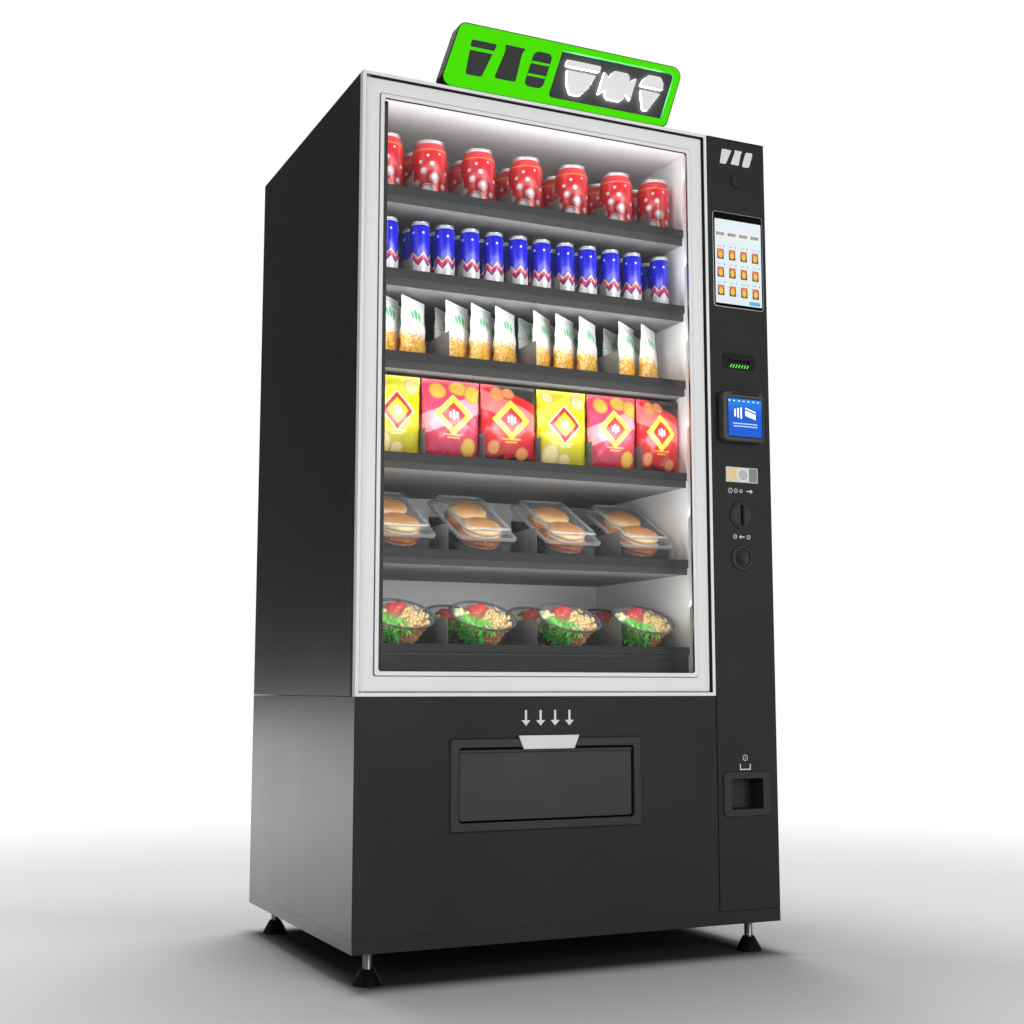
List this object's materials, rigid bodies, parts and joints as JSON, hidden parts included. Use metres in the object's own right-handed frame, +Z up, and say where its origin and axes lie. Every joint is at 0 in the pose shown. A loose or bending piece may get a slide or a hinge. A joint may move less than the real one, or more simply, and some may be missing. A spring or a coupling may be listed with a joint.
{
  "type": "snack vending machine",
  "caption": "Refrigerated vending machine with glass door, conveyor trays, delivery flap, control column and lit sign on the roof",
  "frame": {"origin": "centre of the footprint, at floor level under the feet", "axes": "+Z up, +X to the machine's left-hand column side as seen by the customer on their right, +Y to the back; the glass door faces -Y"},
  "size_m": [1.05, 0.834, 2.1125],
  "materials": {
    "black_coat": "fine-textured powder coat",
    "flap_coat": "satin powder coat",
    "frame_silver": "satin silver-white",
    "foot_black": "gloss black pads on zinc stems",
    "liner_white": "smooth",
    "rail_grey": "satin",
    "runner_steel": "zinc plated",
    "belt_rubber": "matt",
    "seal_rubber": "matt",
    "lamp_diffuser": "frosted, lit",
    "clear_glass": "clear toughened",
    "red_can": "printed can",
    "blue_can": "printed can",
    "white_film": "printed film",
    "bag_film": "printed metallised film",
    "clear_box": "clear pack with food",
    "salad_bowl": "clear pack with food",
    "reader_plastic": "satin",
    "screen_glass": "lit display",
    "plate_steel": "brushed",
    "bright_chrome": "polished",
    "tab_white": "smooth",
    "sign_green": "lit acrylic",
    "sign_dark": "smooth",
    "compressor_paint": "gloss",
    "coil_fins": "finned",
    "fan_plastic": "satin"
  },
  "bodies": {
    "cabinet": {"base_plinth": "black_coat", "coin_mechanism": "reader_plastic", "compressor": "compressor_paint", "condenser": "coil_fins", "control_box": "black_coat", "delivery_bezel": "black_coat", "delivery_bin": "black_coat", "door_surround": "frame_silver", "evaporator": "coil_fins", "leveling_feet": "foot_black", "light_bars": "lamp_diffuser", "liner": "liner_white", "lower_front_panel": "black_coat", "lower_shell": "black_coat", "middle_deck": "liner_white", "push_tab": "tab_white", "rear_grille": "black_coat", "sign_face": "sign_green", "sign_housing": "black_coat", "sign_inset": "sign_dark", "surround_gasket": "seal_rubber", "tray_runners": "runner_steel", "upper_shell": "black_coat"},
    "glass_door": {"door_frame": "frame_silver", "door_glass": "clear_glass", "glazing_bead": "frame_silver", "door_gasket": "seal_rubber", "door_hinge_pins": "runner_steel"},
    "control_panel": {"control_door": "black_coat", "touchscreen": "screen_glass", "note_acceptor": "reader_plastic", "card_reader": "reader_plastic", "coin_guide_plate": "plate_steel", "coin_slot_bezel": "plate_steel", "change_bezel": "plate_steel", "coin_return_cup": "reader_plastic"},
    "lock": {"lock_plug": "bright_chrome"},
    "change": {"change_button": "bright_chrome"},
    "flap": {"delivery_flap": "flap_coat"},
    "baffle": {"anti_theft_baffle": "flap_coat"},
    "bay_fan": {"evaporator_fan": "fan_plastic"},
    "condenser_blower": {"condenser_fan": "fan_plastic"},
    "shelf_1": {"tray_1": "rail_grey", "belts_1": "belt_rubber", "goods_1": "red_can"},
    "shelf_2": {"tray_2": "rail_grey", "belts_2": "belt_rubber", "goods_2": "blue_can"},
    "shelf_3": {"tray_3": "rail_grey", "belts_3": "belt_rubber", "goods_3": "white_film"},
    "shelf_4": {"tray_4": "rail_grey", "belts_4": "belt_rubber", "goods_4": "bag_film"},
    "shelf_5": {"tray_5": "rail_grey", "belts_5": "belt_rubber", "goods_5": "clear_box"},
    "shelf_6": {"tray_6": "rail_grey", "belts_6": "belt_rubber", "goods_6": "salad_bowl"}
  },
  "joints": [
    {"name": "glass_door_hinge", "type": "hinge", "parent": "cabinet", "child": "glass_door", "pos_m": [-0.5032, -0.375, 0.5915], "axis": [0, 0, -1], "range_deg": [0, 100]},
    {"name": "control_panel_hinge", "type": "hinge", "parent": "cabinet", "child": "control_panel", "pos_m": [0.513, -0.378, 0.1005], "axis": [0, 0, 1], "range_deg": [0, 95]},
    {"name": "lock_turn", "type": "hinge", "parent": "control_panel", "child": "lock", "pos_m": [0.4425, -0.39, 1.847], "axis": [0, 1, 0], "range_deg": [0, 90]},
    {"name": "change_press", "type": "slide", "parent": "control_panel", "child": "change", "axis": [0, 1, 0], "range_m": [0, 0.004], "stiffness_N_per_m": 300},
    {"name": "flap_hinge", "type": "hinge", "parent": "cabinet", "child": "flap", "pos_m": [-0.0795, -0.386, 0.474], "axis": [1, 0, 0], "range_deg": [0, 65]},
    {"name": "baffle_hinge", "type": "hinge", "parent": "cabinet", "child": "baffle", "pos_m": [-0.055, -0.23, 0.6005], "axis": [1, 0, 0], "range_deg": [-65, 0]},
    {"name": "bay_fan_spin", "type": "hinge", "parent": "cabinet", "child": "bay_fan", "pos_m": [-0.055, 0.179, 1.2045], "axis": [0, 1, 0], "continuous": true},
    {"name": "condenser_fan_spin", "type": "hinge", "parent": "cabinet", "child": "condenser_blower", "pos_m": [0.12, 0.185, 0.3005], "axis": [0, 1, 0], "continuous": true},
    {"name": "shelf_1_slide", "type": "slide", "parent": "cabinet", "child": "shelf_1", "axis": [0, -1, 0], "range_m": [0, 0.03]},
    {"name": "shelf_2_slide", "type": "slide", "parent": "cabinet", "child": "shelf_2", "axis": [0, -1, 0], "range_m": [0, 0.03]},
    {"name": "shelf_3_slide", "type": "slide", "parent": "cabinet", "child": "shelf_3", "axis": [0, -1, 0], "range_m": [0, 0.03]},
    {"name": "shelf_4_slide", "type": "slide", "parent": "cabinet", "child": "shelf_4", "axis": [0, -1, 0], "range_m": [0, 0.03]},
    {"name": "shelf_5_slide", "type": "slide", "parent": "cabinet", "child": "shelf_5", "axis": [0, -1, 0], "range_m": [0, 0.03]},
    {"name": "shelf_6_slide", "type": "slide", "parent": "cabinet", "child": "shelf_6", "axis": [0, -1, 0], "range_m": [0, 0.03]}
  ],
  "couplings": [
    {"joint": "baffle_hinge", "follows": "flap_hinge", "ratio": -1}
  ]
}
